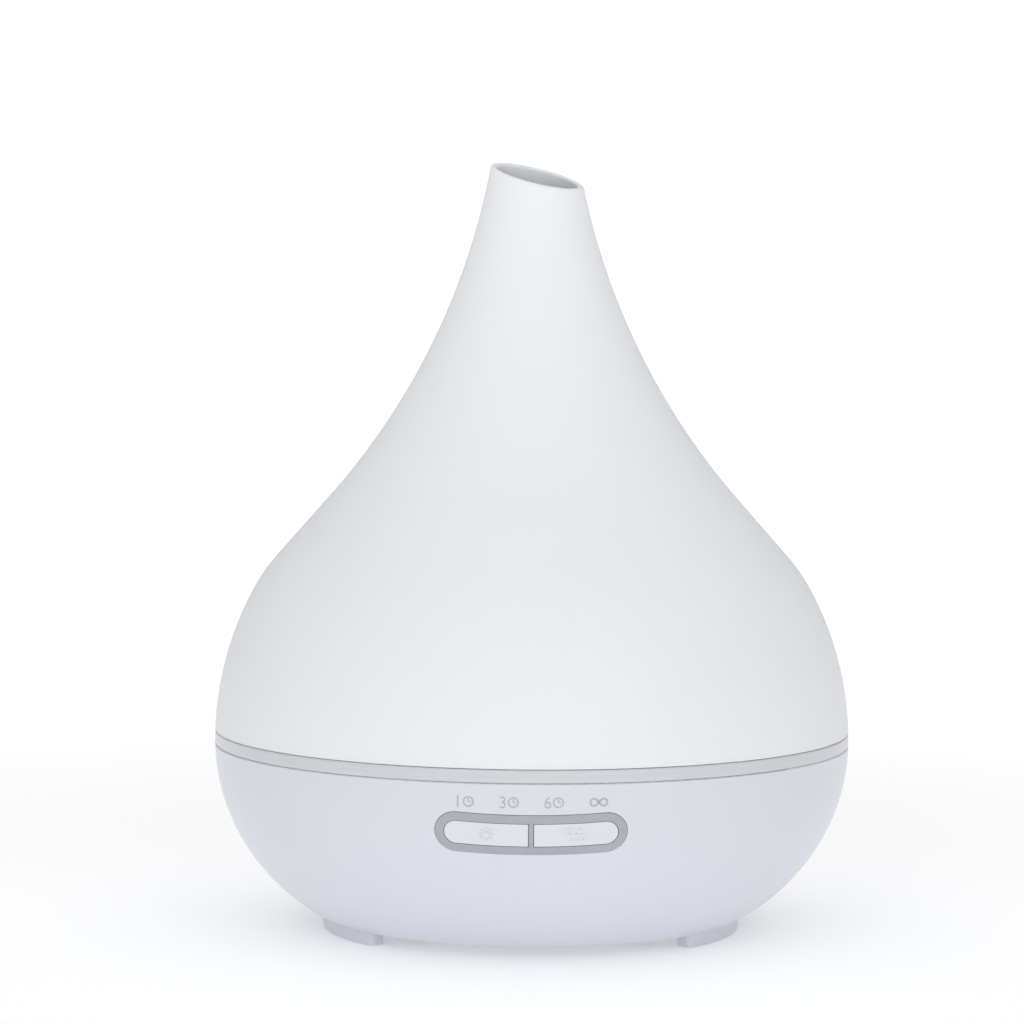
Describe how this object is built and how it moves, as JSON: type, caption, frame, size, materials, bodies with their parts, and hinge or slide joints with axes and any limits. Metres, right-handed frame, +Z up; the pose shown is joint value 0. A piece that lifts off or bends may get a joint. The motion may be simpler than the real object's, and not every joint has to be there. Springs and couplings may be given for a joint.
{
  "type": "essential oil diffuser",
  "caption": "Teardrop ultrasonic essential oil diffuser: a tall cover with a slanted mist mouth over a round water tank and a bowl base with buttons, fan, mist disc and power socket.",
  "frame": {"origin": "centre of the floor under the base, at the level of the foot pads' undersides", "axes": "+Z up through the base's centre line, -Y out of the button panel, +Y out of the power socket"},
  "size_m": [0.168, 0.168, 0.2026],
  "materials": {
    "cover": "matte translucent moulded polypropylene",
    "base": "satin moulded ABS",
    "trim": "satin silver-grey moulded ABS",
    "bezel": "satin grey moulded ABS",
    "button": "satin moulded ABS with raised marks",
    "tank": "smooth moulded polypropylene",
    "clear_plastic": "translucent moulded polypropylene",
    "silicone": "soft translucent silicone",
    "pad": "matte grey rubber",
    "dark_plastic": "black moulded nylon",
    "board": "green solder mask over glass epoxy",
    "led": "clear epoxy",
    "connector": "natural nylon",
    "lead": "PVC-sleeved stranded wire",
    "can": "sleeved aluminium can",
    "copper": "enamelled copper winding",
    "brass": "sintered bronze",
    "aluminium": "extruded",
    "steel": "nickel-plated",
    "screw": "zinc-plated"
  },
  "bodies": {
    "base": {"trim_ring": "trim", "tank_gasket": "silicone", "water_tank": "tank", "air_tower": "tank", "base_shell": "base", "bottom_plate": "base", "plate_screws": "screw", "foot_pads": "pad", "button_bezel": "bezel", "light_switch": "steel", "mist_switch": "steel", "control_board": "board", "control_board_screws": "screw", "indicator_leds": "led", "indicator_light_guide": "clear_plastic", "ultrasonic_disc": "steel", "disc_seal": "silicone", "disc_clamp": "dark_plastic", "clamp_screws": "screw", "light_board": "board", "light_leds": "led", "light_board_screws": "screw", "main_board": "board", "main_board_screws": "screw", "inductor": "copper", "capacitors": "can", "power_transistor": "dark_plastic", "heat_sink": "aluminium", "control_chip": "dark_plastic", "board_connectors": "connector", "fan_housing": "dark_plastic", "fan_stator": "copper", "fan_bush": "brass", "fan_screws": "screw", "air_duct": "tank", "dc_socket": "dark_plastic", "socket_pin": "steel", "socket_nut": "steel", "socket_lead": "lead", "fan_lead": "lead", "disc_lead": "lead", "light_lead": "lead", "control_lead": "lead"},
    "cover_ring": {"cover_seal": "silicone"},
    "cover": {"top_cover": "cover"},
    "lid": {"inner_lid": "clear_plastic"},
    "light_key": {"light_button": "button", "light_switch_stem": "dark_plastic"},
    "mist_key": {"mist_button": "button", "mist_switch_stem": "dark_plastic"},
    "fan_wheel": {"fan_rotor": "dark_plastic", "fan_shaft": "steel"}
  },
  "joints": [
    {"name": "lid_lift", "type": "slide", "parent": "base", "child": "lid", "axis": [0, 0, 1], "range_m": [0, 0.06]},
    {"name": "cover_lift", "type": "slide", "parent": "lid", "child": "cover_ring", "axis": [0, 0, 1], "range_m": [0, 0.12]},
    {"name": "cover_turn", "type": "hinge", "parent": "cover_ring", "child": "cover", "pos_m": [0, 0, 0.0525], "axis": [0, 0, 1], "continuous": true},
    {"name": "light_press", "type": "slide", "parent": "base", "child": "light_key", "axis": [0, 0.9617, 0.2741], "range_m": [0, 0.0005], "stiffness_N_per_m": 1200, "springref_m": -0.0006},
    {"name": "mist_press", "type": "slide", "parent": "base", "child": "mist_key", "axis": [0, 0.9617, 0.2741], "range_m": [0, 0.0005], "stiffness_N_per_m": 1200, "springref_m": -0.0006},
    {"name": "fan_spin", "type": "hinge", "parent": "base", "child": "fan_wheel", "pos_m": [0, 0.028, 0.0105], "axis": [0, 0, 1], "continuous": true}
  ]
}
